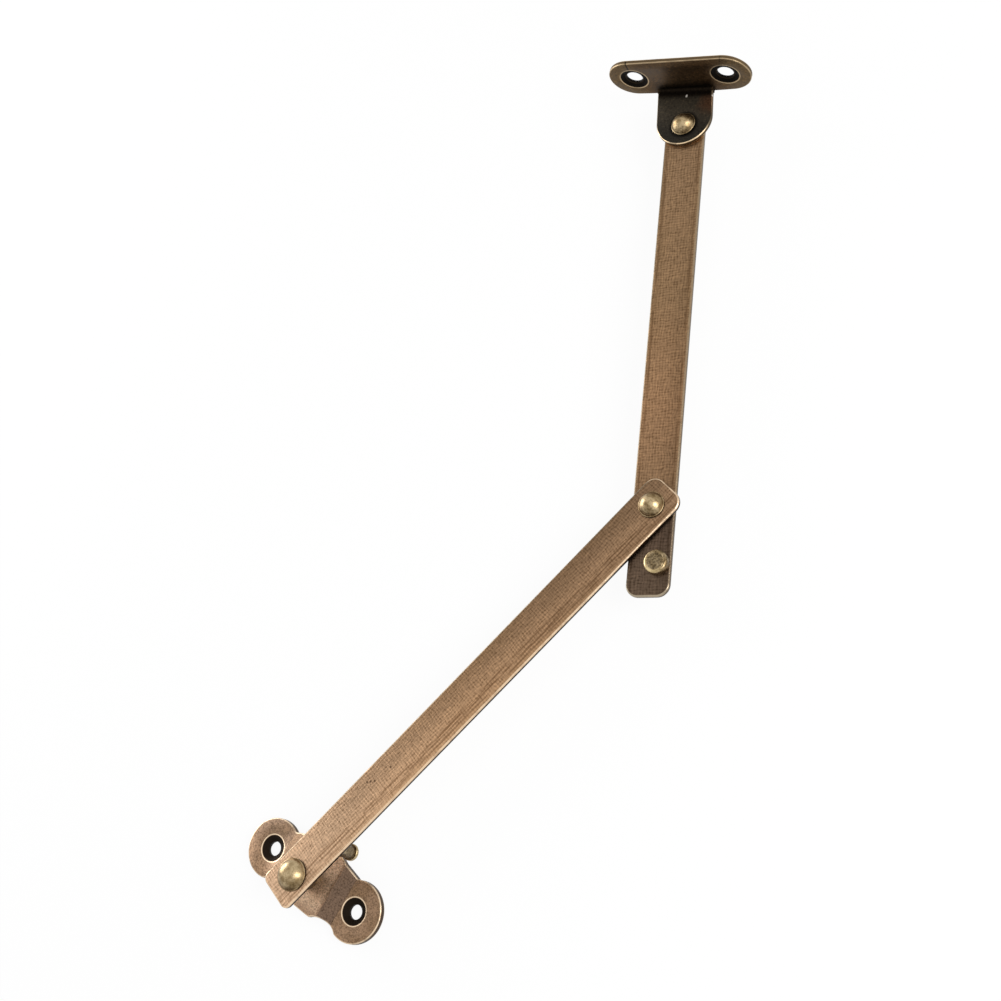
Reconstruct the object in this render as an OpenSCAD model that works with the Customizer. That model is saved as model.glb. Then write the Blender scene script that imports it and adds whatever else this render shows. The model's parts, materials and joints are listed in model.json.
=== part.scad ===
// Folding lid stay: two flat arms riveted at an elbow, with a folded bracket at each end.
// It lies on its back. The lower bracket's screw holes lie along X, its ears' backs are at Z 0,
// and Z points out of the surface that the lower bracket is screwed to.

/* [Arms] */
// Width of both arms
arm_w = 12; // [10:0.5:18]
// Thickness of both arms
arm_t = 1.5; // [1.2:0.1:3]
// Radius of the corners at the arms' ends
arm_corner = 3.4; // [1:0.2:4.6]
// Radius of the corners at the lower arm's end by the lower bracket
lower_corner = 2; // [1:0.2:4.6]
// Lower arm, from rivet to rivet
lower_reach = 138; // [100:1:220]
// Lower arm beyond the lower rivet
lower_end = 7.4; // [6:0.2:12]
// Lower arm beyond the elbow rivet
elbow_end = 6.6; // [6:0.2:12]
// Upper arm, from rivet to rivet
upper_reach = 117; // [90:1:200]
// Upper arm beyond the upper rivet
upper_end = 6; // [5:0.2:9]
// Tail of the upper arm beyond the middle of its stop pin
tail_end = 8.8; // [5:0.2:15]

/* [Pose at rest] */
// Direction of the lower arm from the lower rivet, in degrees from X
lower_angle = 73.8; // [66:0.2:110]
// Bend at the elbow, in degrees from straight
elbow_bend = 43; // [35:0.5:70]
// Turn of the upper bracket from square with the upper arm, in degrees
plate_turn = 8.9; // [-30:0.1:40]

/* [Lower bracket] */
// Thickness of the lower bracket's sheet
bracket_t = 2; // [1.2:0.1:3]
// Distance between the two screw holes
hole_spacing = 33; // [30:0.5:50]
// Diameter of the round ears
ear_d = 16.8; // [15:0.2:24]
// Diameter of the screw holes in the ears
ear_hole_d = 4; // [3:0.1:5]
// Diameter of the countersinks in the ears
ear_sink_d = 7.6; // [6:0.1:9]
// Depth of the countersinks in the ears
ear_sink_depth = 1; // [0.5:0.1:1.1]
// Rise of the platform's front above the ears' fronts
platform_rise = 2; // [1.5:0.1:4]
// Length along X of the slopes down to the ears
slope_run = 4.1; // [2.5:0.1:5]
// Strip's reach to the side away from the rear stop pin
strip_low = 8.2; // [7.4:0.1:12]
// Strip's reach to the side that the rear stop pin meets
strip_high = 10.1; // [8.6:0.1:13]
// Length of the straight edge on that side
crest_l = 11; // [6:0.5:13]
// Slant of the edges beside the straight one, in degrees
crest_slant = 21; // [16:1:30]
// How far each waist cuts into the strip on the other side
waist_depth = 1.6; // [0.4:0.1:2]
// Radius of the waists
waist_r = 6.5; // [5.5:0.1:8]
// Room between a countersink and the slope beside it
screw_room = 0.4; // [0.2:0.1:1.5]

/* [Upper bracket] */
// Thickness of the upper bracket's sheet
plate_t = 1.3; // [1:0.1:2.5]
// Length of the plate
plate_l = 43.4; // [38:0.2:60]
// Depth of the plate, out from the tab's back
plate_d = 14.6; // [12:0.2:20]
// Distance between the plate's screw holes
plate_spacing = 28.2; // [24:0.2:30]
// Diameter of the screw holes in the plate
plate_hole_d = 4.8; // [3:0.1:5.4]
// Diameter of the countersinks in the plate
plate_sink_d = 8.4; // [6:0.1:9]
// Depth of the countersinks in the plate
plate_sink_depth = 0.7; // [0.4:0.1:0.9]
// Width of the tab
tab_w = 16.8; // [14:0.2:24]
// Lean of the tab from square with the plate, in degrees
tab_lean = 11; // [0:0.5:18]
// Drop from the plate's underside to the upper rivet
tab_drop = 12; // [10:0.2:20]
// Tab beyond the upper rivet
tab_end = 6.4; // [5:0.2:8]
// How far the bend stands out beside the tab
bend_flare = 0.15; // [0.1:0.05:0.8]
// Radius inside the bend
tab_bend_r = 0.9; // [0.3:0.1:2]

/* [Rivets and stop pins] */
// Diameter of the rivets' shanks
rivet_d = 4; // [3:0.1:5]
// Diameter of the elbow and upper rivets' domes
dome_d = 7.2; // [6:0.1:9]
// Height of the elbow and upper rivets' domes
dome_h = 2.9; // [1.4:0.1:3.4]
// Diameter of the lower rivet's dome
lower_dome_d = 8.8; // [6:0.1:10]
// Height of the lower rivet's dome
lower_dome_h = 3.2; // [1.4:0.1:4]
// Diameter of the lower rivet's collar
collar_d = 6; // [5:0.1:8]
// Height of that collar, which holds the lower arm off the platform
stand_off = 6.5; // [4:0.5:10]
// Straight lip under a dome
dome_lip = 0.4; // [0.2:0.1:1]
// Step where a dome stands on its lip
dome_step = 0.2; // [0.1:0.05:0.6]
// Diameter of the peened heads behind
peen_d = 5.8; // [5.2:0.1:7]
// Height of the peened heads behind
peen_h = 0.9; // [0.4:0.1:1.5]
// Diameter of the elbow stop pin's head
stop_d = 6.5; // [5.4:0.1:8]
// Height of the elbow stop pin's head
stop_h = 2.6; // [2.2:0.1:4]
// Chamfer round the elbow stop pin's head
stop_chamfer = 0.5; // [0.2:0.1:1]
// Width of the raised rim on the elbow stop pin's head
stop_rim = 0.5; // [0.3:0.1:1]
// Depth of the dish inside that rim
stop_dish = 0.2; // [0.1:0.05:0.5]
// How far the elbow stop pin sits from the tail's centre line
stop_shift = 2.5; // [0:0.1:2.7]
// Room between the elbow stop pin and the lower arm's edge
stop_room = 3.3; // [1:0.1:6]
// Diameter of the rear stop pin
rear_d = 3.6; // [3:0.1:4.4]
// How far the rear stop pin's end lies behind the platform's front
rear_bite = 1.6; // [1:0.1:1.9]
// Diameter of the rear stop pin's head
rear_head_d = 4.6; // [4.4:0.1:6]
// Straight rim of the rear stop pin's head
rear_rim = 1; // [0.5:0.1:1.5]
// Dome on the rear stop pin's head
rear_dome = 1.3; // [0.6:0.1:1.8]
// Metal in front of the rear stop pin's spigot
rear_skin = 0.6; // [0.4:0.1:0.7]
// Room between the rear stop pin's head and the strip's straight edge
rear_room = 0.1; // [0.1:0.1:3]
// Metal between the rear stop pin's shank and the lower arm's edge
rear_edge = 0.4; // [0.2:0.1:1.5]

/* [Clearances] */
// Gap between faces that slide on each other
face_gap = 0.1; // [0.05:0.05:0.3]
// Gap around a shank that turns in its hole
turn_gap = 0.05; // [0.02:0.01:0.1]

/* [Hidden] */
$fn = 64;

brass = [0.60, 0.47, 0.34];
dark_brass = [0.24, 0.20, 0.15];
rivet_brass = [0.56, 0.50, 0.34];

// A little past a face, so that a cut goes right through it
past = 1;

// Levels, from the mounting surface out
platform_z = bracket_t + platform_rise;
upper_arm_z = platform_z + stand_off - arm_t;
front_z = platform_z + stand_off + face_gap;
lower_front = front_z + arm_t;
tab_front = front_z + plate_t;

// Pivots and directions, with the lower rivet midway between the screw holes
upper_angle = lower_angle + elbow_bend;
plate_angle = upper_angle - 90 - plate_turn;
elbow = lower_reach * [cos(lower_angle), sin(lower_angle)];
upper = elbow + upper_reach * [cos(upper_angle), sin(upper_angle)];

// Lower bracket: its slopes end just inside the countersinks
hole_x = hole_spacing / 2;
neck_x = hole_x - ear_sink_d / 2;
foot_x = neck_x - screw_room;
platform_x = foot_x - slope_run;

// Upper bracket: its plate's middle and its bend lie where the leaning tab comes up
bend_w = tab_w / cos(tab_lean) + 2 * bend_flare;
bend_y = tab_drop - tab_bend_r;
plate_shift = -bend_y * tan(tab_lean);

// Elbow stop pin: its place along the tail leaves its room to the lower arm's edge
stop_across = arm_w / 2 + stop_d / 2 + stop_room;
stop_reach = (stop_across - stop_shift * cos(elbow_bend)) / sin(elbow_bend);
tail = stop_reach + tail_end;

// Rear stop pin: near the lower arm's edge, with its room to the strip's straight edge
rear_across = arm_w / 2 - rear_d / 2 - rear_edge;
rear_y = strip_high + rear_head_d / 2 + rear_room;
rear_reach = (rear_y + rear_across * cos(lower_angle)) / sin(lower_angle);
rear_shank = stand_off + face_gap + rear_bite - rear_dome;
spigot_d = rear_d - 1;
spigot_l = arm_t - rear_skin;

// Puts what is drawn along X with its pivot at the origin at a pivot and a direction
module at_pivot(pivot, angle, z) {
    translate([pivot[0], pivot[1], z])
        rotate(angle)
            children();
}

// Flat strip along X from x0 to x1, with corners of radius r0 at x0 and r1 at x1
module strip(x0, x1, w, r0, r1) {
    translate([x0 + r0, -w / 2]) square([x1 - x0 - r0 - r1, w]);
    for (end = [[x0 + r0, r0], [x1 - r1, r1]]) {
        r = end[1];
        translate([end[0] - r, -w / 2 + r]) square([2 * r, w - 2 * r]);
        for (y = [-w / 2 + r, w / 2 - r])
            translate([end[0], y]) circle(r);
    }
}

// Screw hole from z 0 through a sheet, with its countersink at the sheet's front
module screw_hole(hole_d, sink_d, sink_depth, t) {
    translate([0, 0, -past]) cylinder(d = hole_d, h = t + 2 * past);
    translate([0, 0, t - sink_depth]) cylinder(d1 = hole_d, d2 = sink_d, h = sink_depth);
    translate([0, 0, t]) cylinder(d = sink_d, h = past);
}

// Round cap of a given diameter and height, with its flat side at z 0
module cap(d, h) {
    r = (d * d / 4 + h * h) / (2 * h);
    intersection() {
        translate([0, 0, h - r]) sphere(r);
        cylinder(d = d + 2 * past, h = h + past);
    }
}

// Rivet with its grip from z 0 up: shank, dome in front and peened head behind
module rivet(grip, d, h) {
    cylinder(d = rivet_d, h = grip + face_gap + dome_lip);
    translate([0, 0, grip + face_gap]) cylinder(d = d, h = dome_lip);
    translate([0, 0, grip + face_gap + dome_lip]) cap(d - 2 * dome_step, h - dome_lip);
    mirror([0, 0, 1]) cap(peen_d, peen_h);
}

// Section of the lower bracket, along X and up
module hat_section() {
    end_x = hole_x + ear_d / 2;
    slope = atan2(platform_rise, slope_run);
    inset = bracket_t * tan(slope / 2);
    half = [[platform_x, platform_z], [foot_x, bracket_t], [end_x, bracket_t], [end_x, 0],
            [foot_x - inset, 0], [platform_x - inset, platform_z - bracket_t]];
    other = [for (i = [len(half) - 1 : -1 : 0]) [-half[i][0], half[i][1]]];
    polygon(concat(half, other));
}

// Outline of the lower bracket from the front
module hat_outline() {
    neck_y = strip_high - (neck_x - crest_l / 2) * tan(crest_slant);
    waist_x = foot_x - slope_run / 2;
    waist_y = strip_low - waist_depth + waist_r;
    difference() {
        union() {
            polygon([[-neck_x, -strip_low], [neck_x, -strip_low], [neck_x, neck_y],
                     [crest_l / 2, strip_high], [-crest_l / 2, strip_high], [-neck_x, neck_y]]);
            for (side = [-1, 1])
                translate([side * hole_x, 0]) circle(d = ear_d);
        }
        for (side = [-1, 1])
            translate([side * waist_x, -waist_y]) circle(waist_r);
    }
}

// Strip with a raised platform and two round ears
module lower_bracket() {
    depth = ear_d + strip_low + strip_high;
    color(brass)
        difference() {
            intersection() {
                translate([0, depth / 2, 0])
                    rotate([90, 0, 0])
                        linear_extrude(depth) hat_section();
                linear_extrude(platform_z + past) hat_outline();
            }
            for (side = [-1, 1])
                translate([side * hole_x, 0, 0])
                    screw_hole(ear_hole_d, ear_sink_d, ear_sink_depth, bracket_t);
            translate([0, 0, platform_z - bracket_t - past])
                cylinder(d = rivet_d, h = bracket_t + 2 * past);
        }
}

// Rivet that is fixed in the platform, with a collar for the lower arm to turn on
module lower_rivet() {
    color(rivet_brass)
        translate([0, 0, platform_z - bracket_t]) {
            rivet(lower_front - platform_z + bracket_t, lower_dome_d, lower_dome_h);
            translate([0, 0, bracket_t]) cylinder(d = collar_d, h = stand_off);
        }
}

// Flat arm from the lower bracket to the elbow, in front of the upper arm
module lower_arm() {
    color(brass)
        at_pivot([0, 0], lower_angle, front_z)
            difference() {
                linear_extrude(arm_t)
                    strip(-lower_end, lower_reach + elbow_end, arm_w, lower_corner, arm_corner);
                for (x = [0, lower_reach])
                    translate([x, 0, -past]) cylinder(r = rivet_d / 2 + turn_gap, h = arm_t + 2 * past);
                translate([rear_reach, -rear_across, -past]) cylinder(d = spigot_d, h = spigot_l + past);
            }
}

// Headed pin on the lower arm's back, which meets the lower bracket's edge
module rear_stop_pin() {
    color(rivet_brass)
        at_pivot([0, 0], lower_angle, front_z)
            translate([rear_reach, -rear_across, 0]) {
                cylinder(d = spigot_d, h = spigot_l);
                mirror([0, 0, 1]) {
                    cylinder(d = rear_d, h = rear_shank);
                    translate([0, 0, rear_shank - rear_rim]) cylinder(d = rear_head_d, h = rear_rim);
                    translate([0, 0, rear_shank]) cap(rear_head_d - 2 * dome_step, rear_dome);
                }
            }
}

// Rivet that is fixed in the upper arm, for the lower arm to turn on
module elbow_rivet() {
    color(rivet_brass)
        at_pivot(elbow, 0, upper_arm_z)
            rivet(lower_front - upper_arm_z, dome_d, dome_h);
}

// Flat arm from the tail below the elbow to the upper bracket
module upper_arm() {
    color(brass)
        at_pivot(elbow, upper_angle, upper_arm_z)
            difference() {
                linear_extrude(arm_t)
                    strip(-tail, upper_reach + upper_end, arm_w, arm_corner, arm_corner);
                for (x = [0, upper_reach])
                    translate([x, 0, -past]) cylinder(d = rivet_d, h = arm_t + 2 * past);
                translate([-stop_reach, -stop_shift, -past]) cylinder(d = rivet_d, h = arm_t + 2 * past);
            }
}

// Flat-topped pin on the tail's front, which meets the lower arm's edge
module elbow_stop_pin() {
    color(rivet_brass)
        at_pivot(elbow, upper_angle, upper_arm_z)
            translate([-stop_reach, -stop_shift, 0]) {
                cylinder(d = rivet_d, h = arm_t);
                mirror([0, 0, 1]) cap(peen_d, peen_h);
                translate([0, 0, arm_t]) stop_head();
            }
}

// Head of the elbow stop pin, with a chamfer outside and a shallow dish in its top
module stop_head() {
    top_d = stop_d - 2 * stop_chamfer;
    difference() {
        union() {
            cylinder(d = stop_d, h = stop_h - stop_chamfer);
            translate([0, 0, stop_h - stop_chamfer]) cylinder(d1 = stop_d, d2 = top_d, h = stop_chamfer);
        }
        translate([0, 0, stop_h - stop_dish]) cylinder(d = top_d - 2 * stop_rim, h = stop_dish + past);
    }
}

// Rivet that is fixed in the upper arm, for the tab to turn on
module upper_rivet() {
    color(rivet_brass)
        at_pivot(upper, 0, upper_arm_z)
            rivet(tab_front - upper_arm_z, dome_d, dome_h);
}

// Plate's outline, with round ends: X along it and Y out from the tab's back
module plate_outline() {
    end_x = (plate_l - plate_d) / 2;
    translate([plate_shift, 0]) {
        square([2 * end_x, plate_d], center = true);
        for (side = [-1, 1])
            translate([side * end_x, 0]) circle(d = plate_d);
    }
}

// Leaning tab up to its bend, with the rivet at the origin
module leaning_tab() {
    round_y = tab_w / 2 - tab_end;
    intersection() {
        rotate(tab_lean)
            linear_extrude(plate_t) {
                translate([-tab_w / 2, round_y]) square([tab_w, tab_drop + tab_w]);
                translate([0, round_y]) circle(d = tab_w);
            }
        translate([-plate_l, bend_y - plate_l, -past]) cube([2 * plate_l, plate_l, plate_t + 2 * past]);
    }
}

// Section of the tab's bend, with the rivet's height at Y 0 and the tab's back at X 0
module tab_bend() {
    outer_r = tab_bend_r + plate_t;
    translate([outer_r, bend_y])
        intersection() {
            difference() {
                circle(outer_r);
                circle(tab_bend_r);
            }
            translate([-outer_r, 0]) square(outer_r);
        }
}

// Folded sheet: a plate that screws under the lid, and a tab that the upper arm hangs on
module upper_bracket() {
    outer_r = tab_bend_r + plate_t;
    color(dark_brass)
        at_pivot(upper, plate_angle, front_z) {
            // The tab, up to where its bend starts
            difference() {
                leaning_tab();
                translate([0, 0, -past]) cylinder(r = rivet_d / 2 + turn_gap, h = plate_t + 2 * past);
            }
            // The bend
            translate([plate_shift + bend_w / 2, 0, 0])
                rotate([0, -90, 0])
                    linear_extrude(bend_w) tab_bend();
            // The plate, open where the bend comes into it
            translate([0, tab_drop + plate_t, plate_d / 2])
                rotate([90, 0, 0])
                    difference() {
                        linear_extrude(plate_t) plate_outline();
                        translate([plate_shift - bend_w / 2, -plate_d / 2 - past, -past])
                            cube([bend_w, outer_r + past, plate_t + 2 * past]);
                        for (side = [-1, 1])
                            translate([plate_shift + side * plate_spacing / 2, 0, 0])
                                screw_hole(plate_hole_d, plate_sink_d, plate_sink_depth, plate_t);
                    }
        }
}

lower_bracket();
lower_rivet();
lower_arm();
rear_stop_pin();
elbow_rivet();
upper_arm();
elbow_stop_pin();
upper_rivet();
upper_bracket();
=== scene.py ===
import bmesh
import bpy
import json
import math
from mathutils import Matrix, Vector


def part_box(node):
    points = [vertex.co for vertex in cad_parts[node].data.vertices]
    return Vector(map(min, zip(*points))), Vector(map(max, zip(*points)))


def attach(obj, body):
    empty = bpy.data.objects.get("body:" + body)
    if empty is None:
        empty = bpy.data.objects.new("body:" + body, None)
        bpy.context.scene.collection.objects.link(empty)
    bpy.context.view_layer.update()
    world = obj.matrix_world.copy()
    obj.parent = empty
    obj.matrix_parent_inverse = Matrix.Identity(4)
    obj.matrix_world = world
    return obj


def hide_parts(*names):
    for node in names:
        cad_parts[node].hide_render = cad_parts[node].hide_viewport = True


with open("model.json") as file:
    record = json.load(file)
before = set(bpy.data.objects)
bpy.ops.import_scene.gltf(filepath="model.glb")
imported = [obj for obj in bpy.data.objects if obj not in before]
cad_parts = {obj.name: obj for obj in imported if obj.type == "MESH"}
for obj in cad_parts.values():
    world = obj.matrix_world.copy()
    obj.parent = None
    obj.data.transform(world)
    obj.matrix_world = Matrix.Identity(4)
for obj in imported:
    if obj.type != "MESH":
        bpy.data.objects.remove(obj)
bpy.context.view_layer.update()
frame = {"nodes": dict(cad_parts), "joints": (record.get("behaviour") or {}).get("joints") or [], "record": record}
nodes = frame["nodes"]
mm = 0.001


def linear(red, green, blue):  # a screen colour, 0 to 255, as a shader's colour
    levels = [level / 255 for level in (red, green, blue)]
    return tuple(c / 12.92 if c <= 0.04045 else ((c + 0.055) / 1.055) ** 2.4 for c in levels) + (1.0,)


# pivots and directions, as the joints and mounts of the frame give them
pivot = {joint["name"]: Vector(joint["pos_m"]) for joint in frame["joints"]}
lowerPivot, elbowPivot, upperPivot = pivot["lower_pivot"], pivot["elbow"], pivot["upper_pivot"]
lowerTurn = math.atan2(elbowPivot.y - lowerPivot.y, elbowPivot.x - lowerPivot.x)
upperTurn = math.atan2(upperPivot.y - elbowPivot.y, upperPivot.x - elbowPivot.x)
lidAxis = next(m for m in frame["record"]["mounts"] if m["name"] == "lid_face")["axis"]
plateTurn = math.atan2(-lidAxis[0], lidAxis[1])


class Wire:  # one socket, which can be used in sums
    def __init__(self, paint, socket):
        self.paint, self.socket = paint, socket

    def sum(self, operation, first, second):
        return self.paint.add("ShaderNodeMath", {"operation": operation}, {0: first, 1: second})

    def __add__(self, other):
        return self.sum("ADD", self, other)

    def __radd__(self, other):
        return self.sum("ADD", other, self)

    def __sub__(self, other):
        return self.sum("SUBTRACT", self, other)

    def __rsub__(self, other):
        return self.sum("SUBTRACT", other, self)

    def __mul__(self, other):
        return self.sum("MULTIPLY", self, other)

    def __rmul__(self, other):
        return self.sum("MULTIPLY", other, self)

    def __truediv__(self, other):
        return self.sum("DIVIDE", self, other)

    def __rtruediv__(self, other):
        return self.sum("DIVIDE", other, self)

    def __pow__(self, other):
        return self.sum("POWER", self, other)

    def __rpow__(self, other):
        return self.sum("POWER", other, self)


class Paint:  # the nodes of one material or world
    def __init__(self, owner):
        owner.use_nodes = True
        self.owner, self.tree = owner, owner.node_tree

    def add(self, kind, settings=None, inputs=None, out=0):
        node = self.tree.nodes.new(kind)
        for key, value in (settings or {}).items():
            if key == "stops":
                ramp = node.color_ramp
                while len(ramp.elements) < len(value):
                    ramp.elements.new(0.5)
                for stop, (place, colour) in zip(ramp.elements, value):
                    stop.position, stop.color = place, colour
            else:
                setattr(node, key, value)
        for key, value in (inputs or {}).items():
            if isinstance(value, Wire):
                self.tree.links.new(value.socket, node.inputs[key])
            else:
                node.inputs[key].default_value = value
        return Wire(self, node.outputs[out])

    def place(self, centre, turn):  # object coordinates about a centre, turned
        spot = self.add("ShaderNodeTexCoord", out="Object")
        about = Matrix.Rotation(-turn, 3, "Z") @ Vector(centre)
        return self.add("ShaderNodeMapping", {}, {
            "Vector": spot, "Rotation": (0, 0, -turn), "Location": -about})

    def stretch(self, spot, amounts):
        return self.add("ShaderNodeVectorMath", {"operation": "MULTIPLY"}, {0: spot, 1: amounts})

    def noise(self, spot, scale, detail=2.0, rough=0.5, warp=0.0):
        return self.add("ShaderNodeTexNoise", {}, {
            "Vector": spot, "Scale": scale, "Detail": detail, "Roughness": rough, "Distortion": warp})

    def step(self, value, low, high, start=0.0, end=1.0):  # a smooth step of a value
        return self.add("ShaderNodeMapRange", {"interpolation_type": "SMOOTHSTEP"}, {
            "Value": value, "From Min": low, "From Max": high, "To Min": start, "To Max": end})

    def between(self, value, low, high, soft):  # one inside a range, with soft ends
        return self.step(value, low - soft, low + soft) * self.step(value, high + soft, high - soft)

    def ramp(self, value, stops):
        return self.add("ShaderNodeValToRGB", {"stops": stops}, {"Fac": value})

    def mix(self, amount, first, second, blend="MIX"):
        return self.add("ShaderNodeMix", {"data_type": "RGBA", "blend_type": blend}, {
            "Factor": amount, 6: first, 7: second}, out=2)

    def times(self, colour, levels):  # a colour made lighter or darker, in three channels
        return self.mix(1.0, colour, (*levels, 1), "MULTIPLY")

    def parts(self, spot):  # the three numbers of a place
        return [self.add("ShaderNodeSeparateXYZ", {}, {0: spot}, out=axis) for axis in (0, 1, 2)]

    def wave(self, value):
        return self.add("ShaderNodeMath", {"operation": "SINE"}, {0: value})

    def size(self, value):
        return self.add("ShaderNodeMath", {"operation": "ABSOLUTE"}, {0: value})

    def far(self, first, second):  # the length of the two numbers as a distance
        return (first ** 2.0 + second ** 2.0) ** 0.5

    def mark(self, name):  # a number that the piece's faces carry
        return self.add("ShaderNodeAttribute", {"attribute_name": name}, out="Fac")

    def finish(self, values, links):
        shader = self.tree.nodes["Principled BSDF"]
        for key, value in values.items():
            shader.inputs[key].default_value = value
        for key, wire in links.items():
            self.tree.links.new(wire.socket, shader.inputs[key])
        return self.owner

    def metal(self, colour, rough, bump, height):  # the finished metal, with a fine relief
        relief = self.add("ShaderNodeBump", {}, {"Strength": bump, "Distance": 0.2 * mm, "Height": height})
        return self.finish({"Metallic": 1.0}, {"Base Color": colour, "Roughness": rough, "Normal": relief})


# a pair is where a smooth step starts and ends, and a Tone is three factors on a colour
armLook = {
    "lowerArm": {
        # colour along the lower arm, lighter towards the lower bracket as painted light
        "tintAndPaintedLight": [(0.0, linear(189, 157, 128)), (0.15, linear(178, 147, 118)), (0.30, linear(173, 140, 109)),
                 (0.50, linear(160, 127, 96)), (0.72, linear(145, 115, 87)), (1.0, linear(143, 114, 87))],
        "side": linear(16, 12, 9), "wearAndHighlight": linear(240, 212, 178), "leftEdgeShade": linear(112, 103, 86),
        "endWearAndHighlight": linear(240, 212, 178), "wearAndHighlightAmount": 0.8, "dimTo": -1.0,
        "leftTone": (0.71,) * 3, "rightTone": (1.10,) * 3, "dusk": 0.4, "duskFrom": (0.22, 0.52),
        "glow": 0.4, "streaks": 0.8, "scratched": 0.6,
        "scratches": ((-0.38, 0.3, 0.36), (-0.54, 7.1, 0.36), (-0.74, 3.7, 0.16)),  # across, seed, wander
        "specks": ((31.9 * mm, 3.2 * mm), (32.8 * mm, 2.6 * mm),  # along, across
                   (33.8 * mm, 1.8 * mm), (39.6 * mm, 1.3 * mm)),
    },
    "upperArm": {
        # colour along the upper arm, the tail darkened by painted shadow beside the lower arm
        "tintAndPaintedLight": [(0.0, linear(92, 76, 62)), (0.145, linear(86, 70, 58)), (0.19, linear(128, 101, 75)),
                 (0.36, linear(142, 110, 81)), (0.60, linear(132, 105, 77)), (1.0, linear(135, 108, 81))],
        "side": linear(104, 92, 78), "wearAndHighlight": linear(152, 132, 106), "leftEdgeShade": linear(106, 98, 82),
        "endWearAndHighlight": linear(184, 170, 146), "wearAndHighlightAmount": 0.8, "dimTo": 0.17,
        "leftTone": (1.04,) * 3, "rightTone": (0.88,) * 3, "dusk": 0.3, "duskFrom": (0.3, 0.6),
        "glow": 0.1, "streaks": 0.25, "scratched": 0.55,
        "scratches": ((-0.80, 2.2, 0.10), (0.80, 4.9, 0.12)),
        "specks": (),
    },
    "tintStretch": (22, 160, 160), "tintShift": 0.10,
    "leftFrom": (-0.30, 0.50), "leftFade": (0.06, 0.28),
    "rightFrom": (-0.10, -0.60), "rightFade": (0.80, 0.45),
    "grainSize": 0.36 * mm, "grainAmount": 0.4,
    "hatchSize": 0.36 * mm, "hatchLong": 0.22, "hatchAmount": 0.75,
    "weaveSize": 0.86 * mm, "weaveAmount": 0.11, "swayScale": 170, "sway": 16.0,
    "lightFrom": (-0.02, 0.40), "lightTone": (1.42, 1.40, 1.37),
    "darkFrom": (0.02, -0.40), "darkTone": (0.54, 0.50, 0.45),
    "cloudStretch": (60, 900, 900), "cloudFrom": (0.30, 0.62), "duskEdge": (0.20, 0.95),
    "duskTone": (0.50, 0.46, 0.36),
    "streakStretch": (26, 2000, 900), "streakFrom": (0.56, 0.64), "streakBand": (-0.84, -0.24, 0.14),
    "streakTone": (0.40, 0.33, 0.25), "streakDepth": 0.6,
    "scratchBends": 24.0, "scratchBreaks": 90.0, "scratchEdge": (0.055, 0.024), "breakFrom": (0.38, 0.54),
    "scratchTone": (0.36, 0.29, 0.22),
    "glowEdge": (-0.62, -0.95), "glowFrom": (0.62, 0.40), "glowTone": (1.38, 1.34, 1.24),
    "soot": linear(66, 48, 34), "fleckScale": 620, "fleckFrom": (0.79, 0.83), "fleckAmount": 0.35,
    "speckEdge": (0.42 * mm, 0.18 * mm), "speckAmount": 0.8,
    "sideLeast": 0.86, "sideGrain": 0.2,
    "brokenScale": 360, "brokenFrom": (0.30, 0.52), "brokenLeast": 0.45,
    "edgeFrom": (-0.3, 0.3), "startEdge": (0.026, 0.012), "stopEdge": (0.974, 0.988), "endAmount": 0.8,
    "dimLength": 0.03, "dimAmount": 0.65,
    "bump": 0.14, "rough": 0.36, "roughGrain": 0.30, "roughFleck": 0.15, "smoothRim": 0.08,
}


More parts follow.
